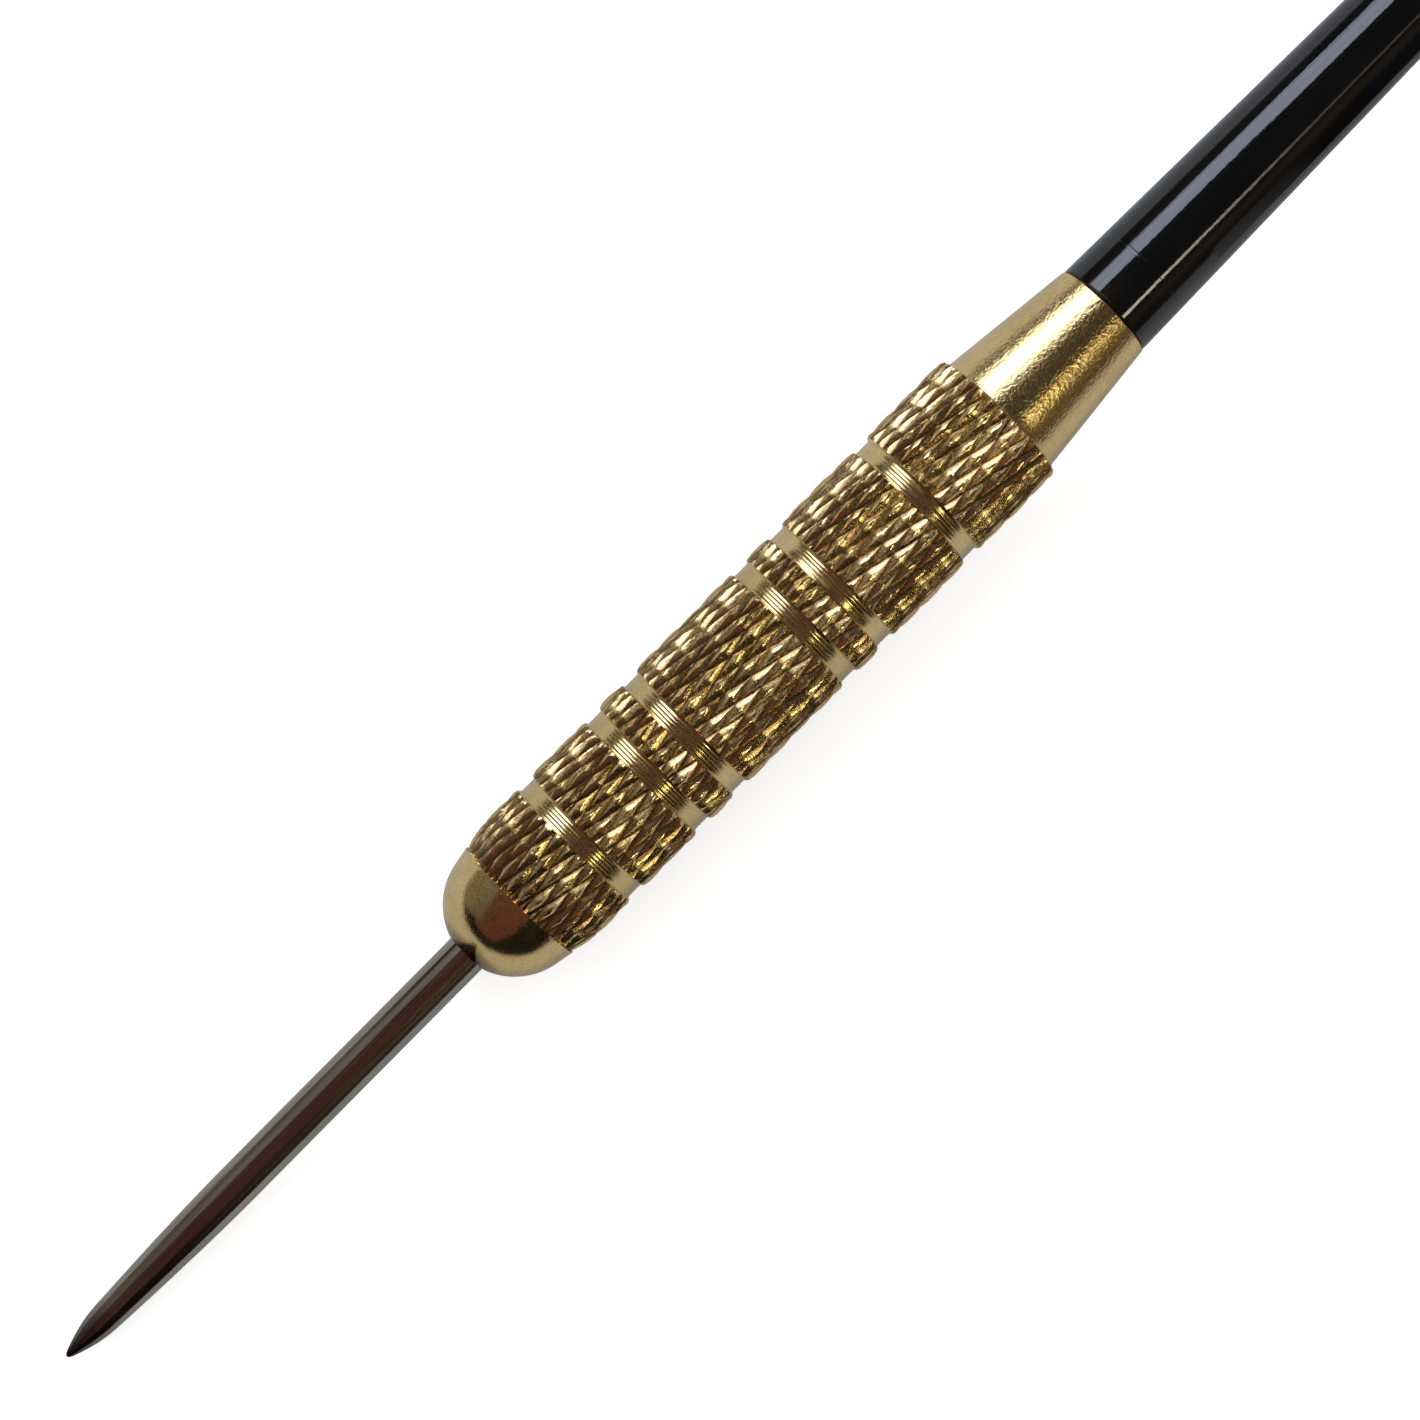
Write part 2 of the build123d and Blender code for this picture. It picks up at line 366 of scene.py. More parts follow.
def make_point():
    """The ground steel point with its grooved shank."""
    skin = Skin()
    taper = TIP_LENGTH * np.linspace(0.13, 1, 12) ** 2
    swell = np.linspace(TIP_LENGTH, SWELL_END, 11)[1:]
    profile = [(x, point_radius(x)) for x in np.append(taper, swell)]
    profile += [(x, POINT_R) for x in np.linspace(15, NOSE - 0.02, 8)]
    profile += [(NOSE + 0.07, SHANK_GROOVE_R), (NOSE + 0.83, SHANK_GROOVE_R), (NOSE + 0.9, SHANK_R)]
    for number in range(SHANK_GROOVES):
        low = NOSE + SHANK_GROOVE_AT + number * SHANK_GROOVE_PITCH
        high = low + SHANK_GROOVE_WIDTH
        profile += [(low - 0.07, SHANK_R), (low, SHANK_GROOVE_R), (high, SHANK_GROOVE_R)]
        profile += [(high + 0.07, SHANK_R)]
    profile += [(SHANK_END - SHANK_CHAMFER, SHANK_R), (SHANK_END, SHANK_R - SHANK_CHAMFER)]
    rings = profile_rings(skin, profile)
    skin.close(rings[0], 0.0, at_start=True)
    skin.close(skin.chain(rings), SHANK_END, at_start=False)
    return skin.build("point_ground")


def make_shaft():
    """Threaded stub, long taper, waist and crown. The slots are cut afterwards."""
    skin = Skin()

    def trimmed(x, radius):
        lead_in = 1.9 + (x - STUB_START) * 0.7
        neck = 2.4 - (x - (BACK - 0.95)) * 2.0
        return np.maximum(np.minimum(np.minimum(radius, lead_in), neck), STUB_CORE_R)

    stub = thread_rings(skin, STUB_START, BACK - 0.05, 0.0, trimmed)
    skin.close(stub[0], STUB_START, at_start=True)
    waist = BACK + WAIST_AT
    body = [(BACK, 1.86), (BACK, SHAFT_BASE_R - 0.09), (BACK + 0.04, SHAFT_BASE_R - 0.02)]
    along = np.append([BACK + 0.12, BACK + 0.2], np.linspace(BACK + 0.3, waist, 30))
    body += [(x, SHAFT_BASE_R - SHAFT_TAPER * (x - BACK)) for x in along]
    flare = np.linspace(0.1, 1, 12)
    rise = (CROWN_R - WAIST_R) * flare * flare * (3 - 2 * flare)
    body += list(zip(waist + FLARE_LENGTH * flare, WAIST_R + rise))
    crown = np.append(np.linspace(waist + 4, SHAFT_END - 0.55, 14), SHAFT_END - 0.45)
    body += [(x, CROWN_R) for x in crown]
    body += [(SHAFT_END - 0.2, CROWN_R - 0.13), (SHAFT_END, CROWN_R - 0.45)]
    last = skin.chain(stub + profile_rings(skin, body))
    skin.close(last, SHAFT_END, at_start=False)
    shaft = skin.build("shaft_moulded")
    for number in range(2):
        cut_slot(shaft, 45 + 90 * number)
    return shaft


def cut_slot(shaft, turn):
    """Cuts a slot for the film right through the crown."""
    bpy.ops.mesh.primitive_cube_add(size=1)
    cutter = bpy.context.object
    cutter.dimensions = ((SLOT_DEPTH + 2) * MM, 4 * CROWN_R * MM, SLOT_WIDTH * MM)
    cutter.rotation_euler = (radians(turn), 0, 0)
    cutter.location = ((SHAFT_END - SLOT_DEPTH / 2 + 1) * MM, 0, 0)
    modifier = shaft.modifiers.new("slot", "BOOLEAN")
    modifier.operation = "DIFFERENCE"
    modifier.solver = "EXACT"
    modifier.object = cutter
    bpy.context.view_layer.update()
    evaluated = shaft.evaluated_get(bpy.context.evaluated_depsgraph_get())
    mesh = bpy.data.meshes.new_from_object(evaluated)
    shaft.modifiers.clear()
    shaft.data = mesh
    mesh.shade_smooth()
    mesh.set_sharp_from_angle(angle=radians(30))
    bpy.data.objects.remove(cutter)


def make_ring():
    """The stem ring, turned, with soft chamfers."""
    skin = Skin()
    low, high, bore = RING_START, RING_END, CROWN_R + 0.04
    outside = [(low, bore + 0.08), (low, RING_R - 0.25), (low + 0.06, RING_R - 0.13)]
    outside += [(low + 0.25, RING_R), (high - 0.25, RING_R), (high - 0.06, RING_R - 0.13)]
    outside += [(high, RING_R - 0.25), (high, bore + 0.08), (high - 0.08, bore), (low + 0.08, bore)]
    rings = profile_rings(skin, outside)
    skin.chain(rings + rings[:1])
    return skin.build("stem_ring_turned")


def wing_outline():
    """Half-width of a wing at places from the flight's front edge, with arcs at its broad corners."""
    corners = ((TONGUE_LENGTH, TONGUE_HALF_WIDTH), SHOULDER, (WIDEST_AT, WING_HALF_WIDTH))
    corners += ((TAIL_CORNER_AT, WING_HALF_WIDTH), (FLIGHT_LENGTH, 0.0))
    rounds = (SHOULDER_ROUND, SHOULDER_ROUND, TAIL_ROUND)
    outline = [corners[0]]
    for before, corner, after, radius in zip(corners, corners[1:], corners[2:], rounds):
        heading = np.arctan2(corner[1] - before[1], corner[0] - before[0])
        leaving = np.arctan2(after[1] - corner[1], after[0] - corner[0])
        reach = radius * tan((heading - leaving) / 2)
        x = corner[0] - reach * cos(heading) + radius * sin(heading)
        y = corner[1] - reach * sin(heading) - radius * cos(heading)
        arc = np.linspace(heading, leaving, 13)
        outline += [(x - radius * sin(a), y + radius * cos(a)) for a in arc]
    return np.array(outline + [corners[-1]])


def make_flight():
    """The folded film: at each place along X its section is a cross with four arms."""
    outline = wing_outline()
    tail = FLIGHT_LENGTH - 2.8
    places = np.concatenate(
        [
            np.linspace(0, TONGUE_LENGTH, 6),
            np.linspace(TONGUE_LENGTH + 0.4, tail - 0.2, 66),
            np.linspace(tail, FLIGHT_LENGTH - 0.1, 16),
        ]
    )
    steps = np.linspace(0, 1, 15)[1:]
    points, faces = [], []
    for x in places:
        width = max(np.interp(x, outline[:, 0], outline[:, 1], left=TONGUE_HALF_WIDTH), 0.6)
        reach = FILM + (width - FILM) * steps
        for arm in range(4):
            turn = radians(45 + 90 * arm)
            points.append((x, *wing_point(turn, FILM, -FILM, x)))
            points += [(x, *wing_point(turn, out, -FILM, x)) for out in reach]
            points += [(x, *wing_point(turn, out, FILM, x)) for out in reach[::-1]]
    count = len(points) // len(places)
    for row in range(len(places) - 1):
        for k in range(count):
            a, b = row * count + k, row * count + (k + 1) % count
            faces.append((a, b, b + count, a + count))
    for row, flip in ((0, False), (len(places) - 1, True)):
        faces += cross_caps(row * count, count, len(steps), flip)
    mesh = bpy.data.meshes.new("flight_film")
    shifted = [((FLIGHT_START + x) * MM, y * MM, z * MM) for x, y, z in points]
    mesh.from_pydata(shifted, [], faces)
    return place("flight_film", mesh, 40)


def wing_point(turn, out, side, x):
    """A point of one wing's film, which bends a little towards its free corner."""
    share = max(out - 3.2, 0) / 17
    side += 0.35 * share**2 * sin(x / 9 + turn * 2)
    return out * cos(turn) - side * sin(turn), out * sin(turn) + side * cos(turn)


def cross_caps(first, count, steps, flip):
    """The flat ends of the cross: one strip for each arm and a square in the middle."""
    arm = 2 * steps + 1
    faces = [tuple(first + arm * k for k in (3, 2, 1, 0))]
    for k in range(4):
        root = first + arm * k
        near = first + arm * ((k + 1) % 4)
        below = [root + s for s in range(steps + 1)]
        above = [near] + [root + 2 * steps + 1 - s for s in range(1, steps + 1)]
        faces += [(below[s], above[s], above[s + 1], below[s + 1]) for s in range(steps)]
    return [f[::-1] for f in faces] if flip else faces


# ---------------------------------------------------------------- materials


def set_stops(ramp, stops):
    """Gives a colour ramp its stops, each a position and a colour."""
    elements = ramp.color_ramp.elements
    while len(elements) < len(stops):
        elements.new(0.5)
    for element, (position, colour) in zip(elements, stops):
        element.position = position
        element.color = (*colour, 1.0)


def set_levels(map_range, *numbers):
    """Gives a Map Range its lowest and highest values in, and then out."""
    for socket, number in zip(list(map_range.inputs)[1:5], numbers):
        socket.default_value = number


class Look:
    """A node material around one Principled shader."""

    def __init__(self, name, **constants):
        self.material = bpy.data.materials.new(name)
        self.material.use_nodes = True
        self.nodes = self.material.node_tree.nodes
        self.shader = self.nodes["Principled BSDF"]
        for key, value in constants.items():
            self.shader.inputs[key.replace("_", " ")].default_value = value
        self.place = self.node("ShaderNodeTexCoord").outputs["Object"]

    def node(self, kind, **inputs):
        """A node with its inputs linked, if a socket is given, or set."""
        made = self.nodes.new(kind)
        for key, value in inputs.items():
            socket = made.inputs[int(key[1:]) if key[1:].isdigit() else key.replace("_", " ")]
            if isinstance(value, bpy.types.NodeSocket):
                self.material.node_tree.links.new(value, socket)
            else:
                socket.default_value = value
        return made

    def math(self, operation, a, b=0.0):
        """The result of a Math node on two values."""
        made = self.node("ShaderNodeMath", i0=a, i1=b)
        made.operation = operation
        return made.outputs[0]

    def noise(self, size, stretch=(1, 1, 1), detail=3.0, rough=0.5):
        """Noise with features of about this size in millimetres, stretched along X, Y or Z."""
        scaled = self.node("ShaderNodeMapping", Vector=self.place)
        scaled.inputs["Scale"].default_value = [1 / (s * size * MM) for s in stretch]
        made = self.node(
            "ShaderNodeTexNoise", Vector=scaled.outputs[0], Scale=1.0, Detail=detail, Roughness=rough
        )
        return made.outputs["Fac"]

    def ramp(self, value, *stops):
        """A colour for each stop of a value."""
        made = self.node("ShaderNodeValToRGB", Fac=value)
        set_stops(made, stops)
        return made.outputs["Color"]

    def levels(self, value, low, high, to_low, to_high):
        """A value between low and high, moved to the range from to_low to to_high."""
        made = self.node("ShaderNodeMapRange", Value=value)
        set_levels(made, low, high, to_low, to_high)
        return made.outputs["Result"]

    def mix(self, share, a, b, blend="MIX"):
        """Two colours mixed by a share."""
        made = self.nodes.new("ShaderNodeMix")
        made.data_type = "RGBA"
        made.blend_type = blend
        colours = [s for s in made.inputs if s.type == "RGBA"]
        for socket, value in ((made.inputs[0], share), (colours[0], a), (colours[1], b)):
            if isinstance(value, bpy.types.NodeSocket):
                self.material.node_tree.links.new(value, socket)
            else:
                socket.default_value = value if isinstance(value, float) else (*value, 1.0)
        return [s for s in made.outputs if s.type == "RGBA"][0]

    def bumps(self, *layers):
        """Stacks (height, strength, distance in millimetres) layers on the shader's normal."""
        normal = None
        for height, strength, distance in layers:
            made = self.node("ShaderNodeBump", Height=height, Strength=strength, Distance=distance * MM)
            if normal:
                self.material.node_tree.links.new(normal, made.inputs["Normal"])
            normal = made.outputs["Normal"]
        self.material.node_tree.links.new(normal, self.shader.inputs["Normal"])

    def set(self, key, socket):
        """Links a value to one of the shader's inputs."""
        self.material.node_tree.links.new(socket, self.shader.inputs[key])

    def along(self):
        """The place along X in metres."""
        return self.node("ShaderNodeSeparateXYZ", Vector=self.place).outputs["X"]


def brass():
    """Worn yellow brass: grime and painted shade in the knurl's valleys, painted shade down its flanks and
    round the point, mottled and slightly rippled where bare.
    """
    look = Look("brass", Metallic=1.0)
    valley = look.node("ShaderNodeAttribute")
    valley.attribute_name = "valley"
    depth = valley.outputs["Fac"]
    stain = look.noise(2.2, detail=4.0)
    clean = look.ramp(stain, (0.3, (0.69, 0.52, 0.235)), (0.7, (0.79, 0.61, 0.305)))
    # Grime and painted shade: the knurl's valleys darken unevenly towards dark brown with depth.
    deep = look.levels(depth, 0.45, 1.0, 0.0, 1.0)
    valley_grime_and_shade = look.math("MULTIPLY", deep, look.levels(stain, 0.3, 0.7, 0.55, 1.0))
    # Painted shade: dark brown on the nose face round the point, where the point enters the bore.
    nose_shade = look.levels(look.along(), (NOSE + 0.1) * MM, (NOSE + 0.75) * MM, 0.92, 0.0)
    speckle = look.noise(0.13, detail=2.0)
    shade = look.ramp(speckle, (0.35, (0.8, 0.78, 0.75)), (0.6, (1.0, 1.0, 1.0)))
    spotted = look.mix(1.0, clean, shade, "MULTIPLY")
    # Painted shade: darker down the knurl's flanks with depth, and a little lighter on the crests.
    flank = look.ramp(depth, (0.02, (1.05, 1.03, 1.0)), (0.25, (0.97, 0.94, 0.98)), (0.7, (0.78, 0.71, 0.7)))
    spotted = look.mix(1.0, spotted, flank, "MULTIPLY")
    # Dark brown mixes in by the stronger of the valley grime and shade and the nose shade.
    look.set("Base Color", look.mix(look.math("MAXIMUM", valley_grime_and_shade, nose_shade), spotted, (0.09, 0.05, 0.024)))
    finish = look.node("ShaderNodeAttribute")
    finish.attribute_name = "finish"
    turned = look.levels(finish.outputs["Fac"], 0.0, 1.0, 0.0, 1.0)
    bare = look.levels(finish.outputs["Fac"], -1.0, 0.0, 1.0, 0.0)
    worn = look.levels(speckle, 0.3, 0.7, 0.12, 0.22)
    rough = look.math("ADD", worn, look.levels(depth, 0.2, 1.0, 0.0, 0.12))
    dome_end = NOSE + KNURL_START - 0.15
    polish = look.levels(look.along(), (dome_end - 0.1) * MM, (dome_end + 0.1) * MM, 1.0, 0.0)
    look.set("Roughness", look.math("MULTIPLY", rough, look.levels(polish, 0.0, 1.0, 1.0, 0.95)))
    peel = look.noise(0.26, (1.3, 1, 1), detail=3.0)
    even = look.math("MAXIMUM", turned, look.math("MULTIPLY", polish, 0.68))
    plain = look.levels(even, 0.0, 1.0, 1.0, 0.03)
    peel_share = look.math("MULTIPLY", plain, look.levels(bare, 0.0, 1.0, 0.15, 0.08))
    peel_height = look.math("MULTIPLY", peel, peel_share)
    grain_share = look.math("MULTIPLY", plain, look.levels(bare, 0.0, 1.0, 0.42, 0.62))
    grain = look.math("MULTIPLY", grain_share, look.noise(0.17, (1.3, 1, 1), detail=3.0, rough=0.6))
    lines = look.noise(0.12, (1, 300, 300), detail=2.0)
    line_height = look.math("MULTIPLY", lines, look.levels(turned, 0.0, 1.0, 0.02, 1.0))
    look.bumps((peel_height, 1.0, 0.065), (grain, 1.0, 0.042), (line_height, 1.0, 0.05))
    return look.material


def ground_steel():
    """Dark ground steel with long fine scratches, a warm tint and a blackened tip."""
    look = Look("ground_steel", Metallic=1.0)
    streaks = look.noise(0.12, (40, 1, 1), detail=3.0)
    cloud = look.noise(3.0, (2, 1, 1))
    grey = look.ramp(streaks, (0.3, (0.29, 0.262, 0.217)), (0.7, (0.43, 0.385, 0.315)))
    tinted = look.mix(look.levels(cloud, 0.35, 0.7, 0.0, 0.5), grey, (0.30, 0.24, 0.20))
    tip = look.levels(look.along(), 0.0002, 0.0042, 0.9, 0.0)
    look.set("Base Color", look.mix(tip, tinted, (0.03, 0.027, 0.025)))
    look.set("Roughness", look.levels(streaks, 0.3, 0.7, 0.1, 0.17))
    scratch = look.noise(0.06, (60, 1, 1), detail=2.0)
    look.bumps((streaks, 0.2, 0.008), (scratch, 0.25, 0.005))
    return look.material


def black_plastic():
    """Glossy black moulded plastic, slightly uneven, with a fine witness line near its base."""
    look = Look("black_plastic", Specular_IOR_Level=0.55)
    cloud = look.noise(1.6, (3, 1, 1))
    look.set("Base Color", look.ramp(cloud, (0.3, (0.002, 0.002, 0.0022)), (0.7, (0.004, 0.004, 0.0045))))
    grain = look.noise(0.16, (2.2, 1, 1), detail=3.0)
    look.set("Roughness", look.levels(grain, 0.3, 0.7, 0.04, 0.09))
    wave = look.noise(2.4, (4, 1, 1), detail=1.0)
    line = look.math("ABSOLUTE", look.math("SUBTRACT", look.along(), (BACK + 3.1) * MM))
    groove = look.levels(line, 0.00003, 0.00009, 0.0, 1.0)
    look.bumps((wave, 0.3, 0.05), (grain, 0.3, 0.006), (groove, 0.5, 0.02))
    return look.material


def ring_steel():
    """Bright turned steel with rings from the tool."""
    look = Look("ring_steel", Metallic=1.0)
    turned = look.noise(0.05, (1, 300, 300), detail=2.0)
    cloud = look.noise(1.2)
    look.set("Base Color", look.ramp(cloud, (0.3, (0.5, 0.49, 0.47)), (0.7, (0.64, 0.63, 0.61))))
    look.set("Roughness", look.levels(turned, 0.3, 0.7, 0.16, 0.3))
    look.bumps((turned, 0.4, 0.01))
    return look.material


def film():
    """Plain dark red plastic film with a fine embossed grain and a paler fold and rim."""
    look = Look("film", Coat_Weight=0.35, Coat_Roughness=0.12)
    cloud = look.noise(7.0, detail=4.0)
    red = look.ramp(cloud, (0.3, (0.32, 0.014, 0.022)), (0.7, (0.36, 0.018, 0.027)))
    parts = look.node("ShaderNodeSeparateXYZ", Vector=look.place)
    y, z = parts.outputs["Y"], parts.outputs["Z"]
    out = look.math("SQRT", look.math("ADD", look.math("MULTIPLY", y, y), look.math("MULTIPLY", z, z)))
    fold = look.levels(out, 0.0003, 0.0011, 0.6, 0.0)
    weld = look.levels(look.math("ABSOLUTE", look.math("SUBTRACT", out, 0.0042)), 0.0, 0.00025, 0.35, 0.0)
    pale = look.math("MAXIMUM", fold, weld)
    look.set("Base Color", look.mix(pale, red, (0.55, 0.12, 0.11)))
    grain = look.noise(0.3, detail=2.0)
    look.set("Roughness", look.levels(grain, 0.3, 0.7, 0.28, 0.42))
    wave = look.noise(9.0, detail=1.0)
    look.bumps((wave, 0.4, 0.25), (grain, 0.35, 0.02), (weld, 0.5, 0.04))
    return look.material


# ---------------------------------------------------------------- the dart

PIECES = (
    (make_point, ground_steel, "barrel", "steel_point", "point_steel"),
    (make_barrel, brass, "barrel", "barrel", "barrel_brass"),
    (make_shaft, black_plastic, "shaft", "shaft", "shaft_plastic"),
    (make_ring, ring_steel, "stem_ring", "stem_ring", "ring_steel"),
    (make_flight, film, "flight", "flight", "flight_film"),
)
for make, material, body, node, slot in PIECES:
    piece = make()
    piece.data.materials.clear()
    piece.data.materials.append(material())
    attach(piece, body)
    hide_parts(node)


# ---------------------------------------------------------------- the surface it lies on

HALF_FLOOR = 4.0


def make_floor():
    """A pale surface under the barrel's front shoulder and the lower wings."""
    wings = bpy.data.objects["flight_film"].data.vertices
    shoulder = Vector(((NOSE + 5.8) * MM, 0, -GRIP_R * MM))
    slope = max((shoulder.z - v.co.z) / (v.co.x - shoulder.x) for v in wings)
    mesh = bpy.data.meshes.new("surface")
    side = HALF_FLOOR
    plan = ((-side, -side), (side, -side), (side, side), (-side, side))
    corners = [Vector((x, y, shoulder.z - slope * (x - shoulder.x))) for x, y in plan]
    mesh.from_pydata(corners, [], [(0, 1, 2, 3)])
    floor = bpy.data.objects.new("surface", mesh)
    bpy.context.scene.collection.objects.link(floor)
    look = Look("paper", Roughness=0.9, Specular_IOR_Level=0.2, Emission_Color=(1, 1, 1, 1))
    seen = look.node("ShaderNodeLightPath").outputs["Is Camera Ray"]
    fibres = look.levels(look.noise(0.5, detail=4.0), 0.3, 0.7, 0.96, 1.0)
    look.set("Base Color", look.mix(look.math("MULTIPLY", seen, fibres), (0.58,) * 3, (0.96,) * 3))
    look.set("Emission Strength", look.math("MULTIPLY", seen, 0.5))
    look.bumps((look.noise(0.4), 0.1, 0.02))
    mesh.materials.append(look.material)


make_floor()


# ---------------------------------------------------------------- light


def area_light(name, spot, aim, size, radiance, colour):
    """A rectangular light of a given radiance, whose long side lies along X."""
    light = bpy.data.lights.new(name, "AREA")
    light.shape = "RECTANGLE"
    light.size, light.size_y = size
    light.energy = radiance * pi * size[0] * size[1]
    light.color = colour
    obj = bpy.data.objects.new(name, light)
    back = (Vector(spot) - Vector(aim)).normalized()
    side = Vector((1, 0, 0)) - back * back.x
    side.normalize()
    up = back.cross(side)
    turn = Matrix((side, up, back)).transposed().to_4x4()
    obj.matrix_world = Matrix.Translation(spot) @ turn
    bpy.context.scene.collection.objects.link(obj)


def from_side(turn, distance, x):
    """A place at an angle from straight up towards +Y, seen along the dart."""
    a = radians(turn)
    return (x, distance * sin(a), distance * cos(a))


def sides(*corners):
    """Corners given as their x, angle and distance."""
    return [from_side(turn, away, x) for x, turn, away in corners]


def card(colour, corners):
    """A glowing card that only reflections see, named after the function that colours it."""
    name = colour.__name__
    mesh = bpy.data.meshes.new(name)
    mesh.from_pydata(corners, [], [(0, 1, 2, 3)])
    made = bpy.data.objects.new(name, mesh)
    bpy.context.scene.collection.objects.link(made)
    made.visible_camera = False
    made.visible_diffuse = False
    made.visible_shadow = False
    look = Look(name, Base_Color=(0, 0, 0, 1), Emission_Strength=1.0, Specular_IOR_Level=0.0)
    look.set("Emission Color", colour(look))
    mesh.materials.append(look.material)


def glow(look):
    """The key light's dim end, which fades out towards the tip."""
    x = look.levels(look.along(), -0.2, 0.2, 0.0, 1.0)
    stops = ((0.1, 0.15), (0.4, 0.3), (0.56, 0.34), (0.64, 0.85), (0.725, 1.3), (0.765, 4.5))
    return look.ramp(x, *((p, (g * 0.97, g * 0.95, g * 0.9)) for p, g in stops))


def fringe(look):
    """The key light's dimmer edge."""
    return look.ramp(look.noise(30.0), (0.3, (1.9, 2.0, 2.3)), (0.7, (3.0, 3.2, 3.6)))


def ceiling(look):
    """A plain reddish brown, slightly uneven."""
    return look.ramp(look.noise(150.0), (0.3, (0.095, 0.04, 0.035)), (0.7, (0.12, 0.05, 0.042)))


def fan(look):
    """The key light again, spread out where it is far from the camera."""
    return look.ramp(look.noise(9.0), (0.3, (3.2, 3.5, 4.1)), (0.7, (4.7, 5.1, 6.0)))


def warm(look):
    """A narrow yellow lamp that whitens and fades towards the flight."""
    x = look.levels(look.along(), 0.0, 0.5, 0.0, 1.0)
    stops = ((0.25, (10.0, 9.1, 5.2)), (0.32, (10.0, 9.4, 6.5)), (0.36, (4.5, 4.2, 3.2)))
    stops += ((0.4, (1.0, 0.85, 0.48)), (0.7, (0.32, 0.32, 0.28)))
    return look.ramp(x, *stops)


def shadow_beside_shaft(look):
    """Painted shadow seen only in reflections: black where the shaft's shadow lies on the surface beside it,
    grey where it begins.
    """
    x = look.levels(look.along(), 0.092, 0.102, 0.0, 1.0)
    return look.ramp(x, (0.0, (0.35,) * 3), (0.9, (0.02,) * 3))


def wall(look):
    """Dull olive, beside the tip."""
    return look.ramp(look.noise(60.0), (0.3, (0.17, 0.165, 0.12)), (0.7, (0.22, 0.21, 0.16)))


def haze(look):
    """A soft pale patch between the key light and straight up, over the barrel's rear half."""
    y = look.node("ShaderNodeSeparateXYZ", Vector=look.place).outputs["Y"]
    side = look.levels(y, -0.02, 0.2, 0.2, 1.0)
    x = look.levels(look.along(), 0.03, 0.19, 0.0, 1.0)
    stops = ((0.0, 0.15), (0.3, 0.7), (0.5, 1.3), (0.66, 0.6), (0.78, 0.06), (1.0, 0.0))
    pale = look.ramp(x, *((p, (g, g * 0.9, g * 0.72)) for p, g in stops))
    return look.mix(side, (0.05, 0.03, 0.022), pale)


card(glow, sides((-0.5, 30, 0.4), (0.118, 34, 0.39), (0.118, 62, 0.39), (-0.5, 86, 0.6)))
card(ceiling, ((-0.8, -0.24, 0.34), (0.08, -0.32, 0.5), (0.08, 0.4, 0.5), (-0.8, 0.32, 0.34)))
card(wall, sides((-0.3, 52, 0.42), (-0.02, 52, 0.42), (-0.02, 98, 0.42), (-0.3, 98, 0.42)))
card(haze, sides((0.03, 0, 0.36), (0.19, 0, 0.36), (0.19, 34, 0.38), (0.03, 34, 0.38)))
area_light("key", from_side(46.8, 0.4, 0.354), (0.354, 0, 0), (0.472, 0.176), 5.6, (0.86, 0.93, 1.1))
card(fringe, sides((0.118, 57.5, 0.402), (0.59, 57.5, 0.402), (0.59, 62.5, 0.402), (0.118, 62.5, 0.402)))
card(fan, sides((0.13, 36, 0.405), (0.3, 25, 0.42), (0.3, 70, 0.42), (0.13, 61, 0.405)))
card(warm, sides((0.04, -43, 0.4), (0.45, -39.8, 0.4), (0.45, -38.6, 0.4), (0.04, -35.5, 0.4)))
# A dark card that stands for the shaft's shadow in reflections: painted shadow.
card(shadow_beside_shaft, ((0.092, -0.022, -0.04), (0.4, -0.04, -0.06), (0.4, -0.04, 0.03), (0.092, -0.022, 0.006)))


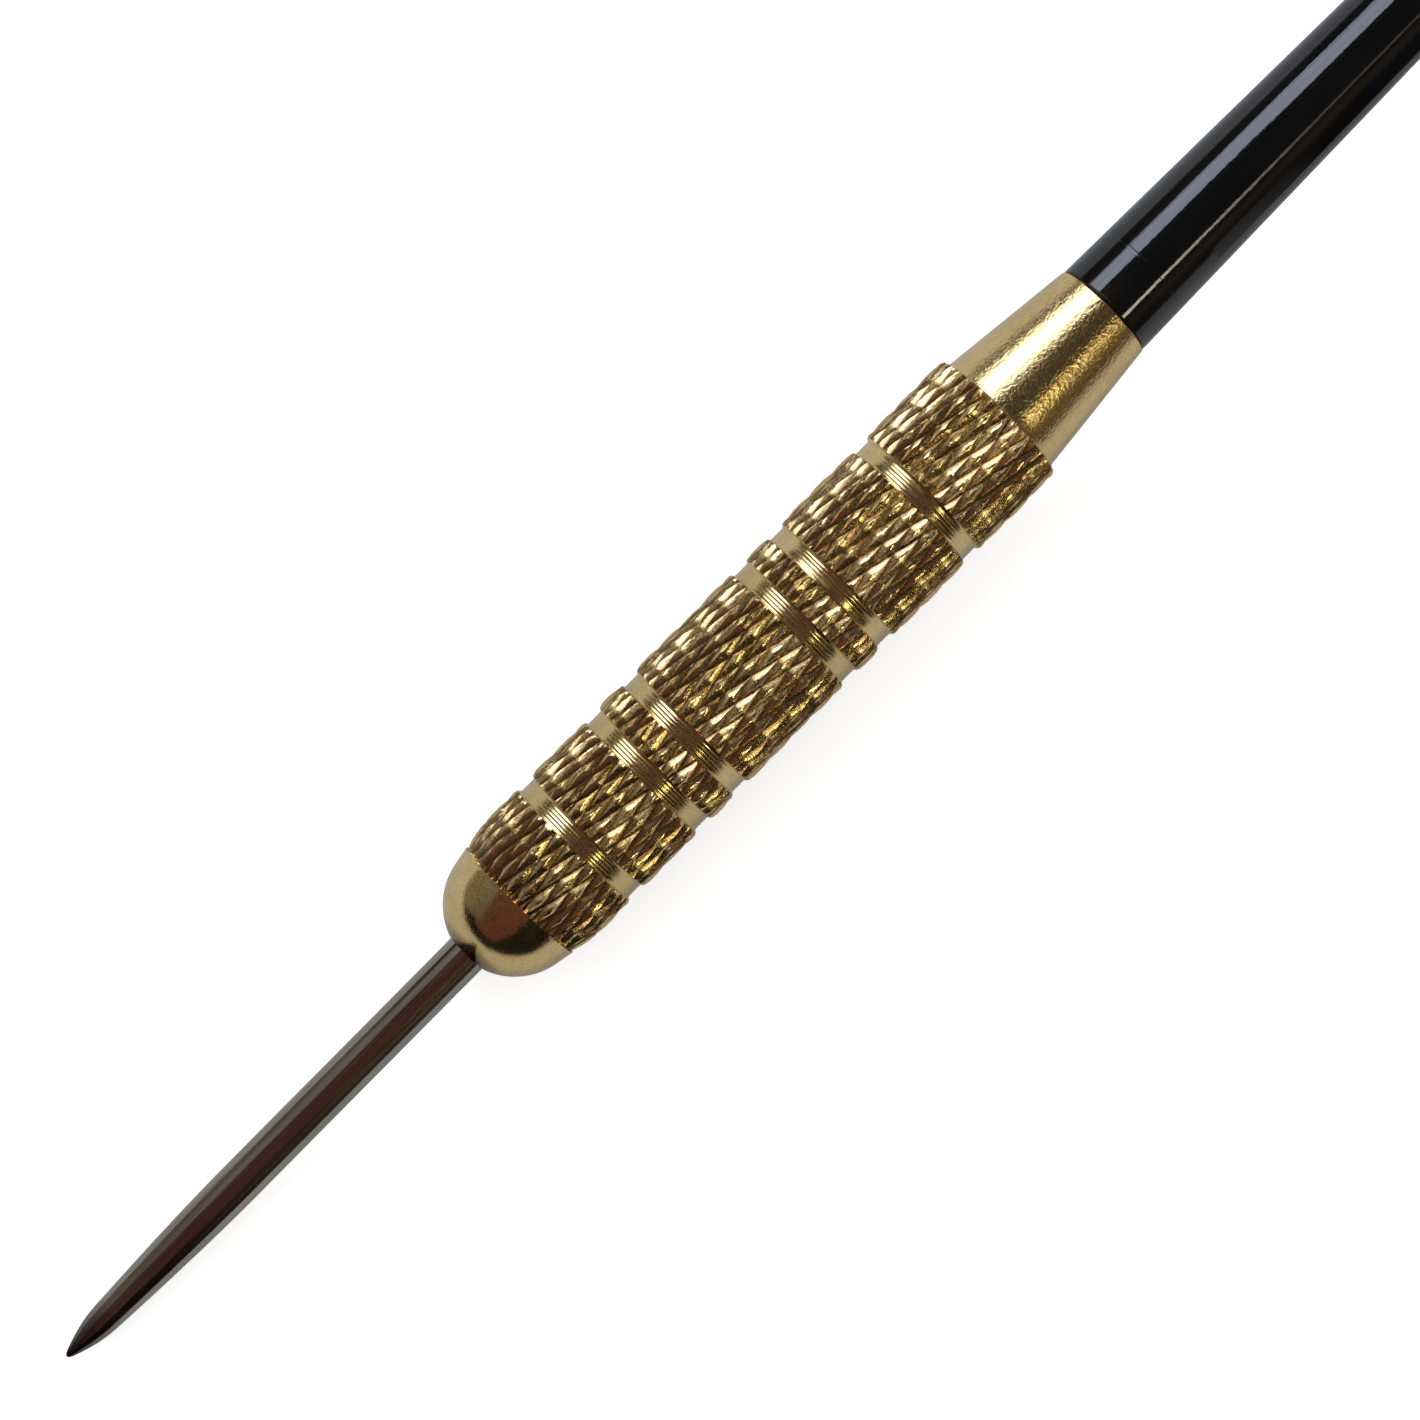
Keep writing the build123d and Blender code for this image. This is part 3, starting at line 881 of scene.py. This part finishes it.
def make_world():
    """Dim and brown overhead, dark just above the horizon, and pale below it and behind the object."""
    world = bpy.data.worlds.new("room")
    bpy.context.scene.world = world
    world.use_nodes = True
    nodes, links = world.node_tree.nodes, world.node_tree.links
    direction = nodes.new("ShaderNodeTexCoord")
    parts = nodes.new("ShaderNodeSeparateXYZ")
    links.new(direction.outputs["Generated"], parts.inputs[0])
    height = nodes.new("ShaderNodeMapRange")
    height.inputs["From Min"].default_value = -1.0
    links.new(parts.outputs["Z"], height.inputs["Value"])
    ramp = nodes.new("ShaderNodeValToRGB")
    links.new(height.outputs["Result"], ramp.inputs["Fac"])
    stops = ((0.0, (0.7, 0.7, 0.7)), (0.495, (0.7, 0.7, 0.7)), (0.515, (0.1, 0.09, 0.075)))
    stops += ((0.6, (0.05, 0.04, 0.032)), (0.66, (0.09, 0.065, 0.045)), (0.75, (0.22, 0.16, 0.08)))
    stops += ((0.84, (0.06, 0.05, 0.04)), (1.0, (0.04, 0.038, 0.036)))
    set_stops(ramp, stops)
    shade = nodes.new("ShaderNodeMapRange")
    set_levels(shade, -0.27, -0.02, 0.03, 1.0)
    links.new(parts.outputs["X"], shade.inputs["Value"])
    room = nodes["Background"]
    links.new(ramp.outputs["Color"], room.inputs["Color"])
    links.new(shade.outputs["Result"], room.inputs["Strength"])
    pale = nodes.new("ShaderNodeBackground")
    pale.inputs["Color"].default_value = (1.0, 1.0, 1.0, 1.0)
    rays = nodes.new("ShaderNodeLightPath")
    seen = nodes.new("ShaderNodeMapRange")
    seen.inputs["To Min"].default_value = 0.7
    links.new(rays.outputs["Is Camera Ray"], seen.inputs["Value"])
    links.new(seen.outputs["Result"], pale.inputs["Strength"])
    both = nodes.new("ShaderNodeMixShader")
    links.new(rays.outputs["Is Glossy Ray"], both.inputs[0])
    links.new(pale.outputs[0], both.inputs[1])
    links.new(room.outputs[0], both.inputs[2])
    links.new(both.outputs[0], nodes["World Output"].inputs["Surface"])


make_world()


# ---------------------------------------------------------------- camera


def make_camera():
    """Straight above the barrel and near it, turned so that the dart points down to the left."""
    data = bpy.data.cameras.new("camera")
    data.lens = 93.9
    data.sensor_width = 36
    data.clip_start, data.clip_end = 0.01, 10
    camera = bpy.data.objects.new("camera", data)
    camera.location = (0.05049, -0.00009, 0.205)
    camera.rotation_euler = (0, 0, radians(-45.25))
    bpy.context.scene.collection.objects.link(camera)
    bpy.context.scene.camera = camera


make_camera()
bpy.context.scene.view_settings.view_transform = "Standard"
